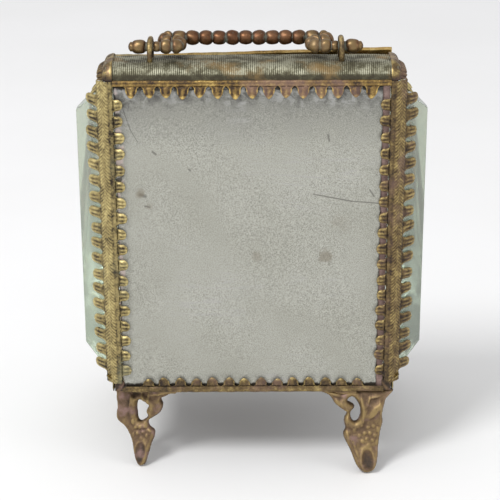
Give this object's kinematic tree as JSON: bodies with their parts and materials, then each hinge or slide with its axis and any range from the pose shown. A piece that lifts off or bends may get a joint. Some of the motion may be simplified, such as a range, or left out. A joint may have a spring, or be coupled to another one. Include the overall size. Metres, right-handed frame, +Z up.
{
  "type": "glass casket box",
  "caption": "Upright keepsake casket: thick bevelled glass in a stamped brass frame, leaning hinged glass door, silk lining, scroll feet and a beaded bail handle.",
  "frame": {"origin": "on the ground under the middle of the overall box, half way between the back toes and the front toes", "axes": "+Z up, -Y is the upright silvered back, +Y is the leaning glass door, +X is to the right when the back faces the viewer"},
  "size_m": [0.0796, 0.06, 0.1044],
  "materials": {
    "bevelled_glass": "polished plate glass, faintly green",
    "stamped_brass": "aged gilt brass, worn",
    "ribbed_brass": "finely ribbed brass, grey with age",
    "cast_brass": "cast brass, dark and rubbed",
    "copper_bronze": "coppery bronze, rubbed beads",
    "silvered_sheet": "dull speckled silvering, scratched",
    "lining_card": "rose paper on pasteboard",
    "pink_silk": "tufted rose silk satin"
  },
  "bodies": {
    "casket": {"left_glass": "bevelled_glass", "right_glass": "bevelled_glass", "back_left_post": "stamped_brass", "back_right_post": "stamped_brass", "back_top_rail": "stamped_brass", "back_bottom_rail": "stamped_brass", "front_left_jamb": "stamped_brass", "front_right_jamb": "stamped_brass", "front_sill": "stamped_brass", "front_lintel": "stamped_brass", "left_side_sill": "stamped_brass", "right_side_sill": "stamped_brass", "left_gable": "stamped_brass", "right_gable": "stamped_brass", "ribbed_ridge": "ribbed_brass", "base_plate": "stamped_brass", "silvered_back_sheet": "silvered_sheet", "back_card": "lining_card", "base_card": "lining_card", "back_cushion": "pink_silk", "base_cushion": "pink_silk", "lower_hinge_frame_leaf": "stamped_brass", "lower_hinge_pin": "cast_brass", "upper_hinge_frame_leaf": "stamped_brass", "upper_hinge_pin": "cast_brass", "left_handle_ring": "cast_brass", "right_handle_ring": "cast_brass", "back_left_foot": "cast_brass", "back_right_foot": "cast_brass", "front_left_foot": "cast_brass", "front_right_foot": "cast_brass"},
    "door": {"door_glass": "bevelled_glass", "door_left_stile": "stamped_brass", "door_right_stile": "stamped_brass", "door_bottom_rail": "stamped_brass", "door_top_rail": "stamped_brass", "door_pull_tab": "stamped_brass", "lower_hinge_door_leaf": "stamped_brass", "upper_hinge_door_leaf": "stamped_brass"},
    "handle": {"beaded_handle": "copper_bronze"}
  },
  "joints": [
    {"name": "door_hinge", "type": "hinge", "parent": "casket", "child": "door", "pos_m": [0.03355, 0.00673, 0.06114], "axis": [0, 0.4321, -0.9018], "range_deg": [0, 115]},
    {"name": "handle_swing", "type": "hinge", "parent": "casket", "child": "handle", "pos_m": [-0.0013, -0.019, 0.10195], "axis": [1, 0, 0], "range_deg": [0, 178]}
  ]
}
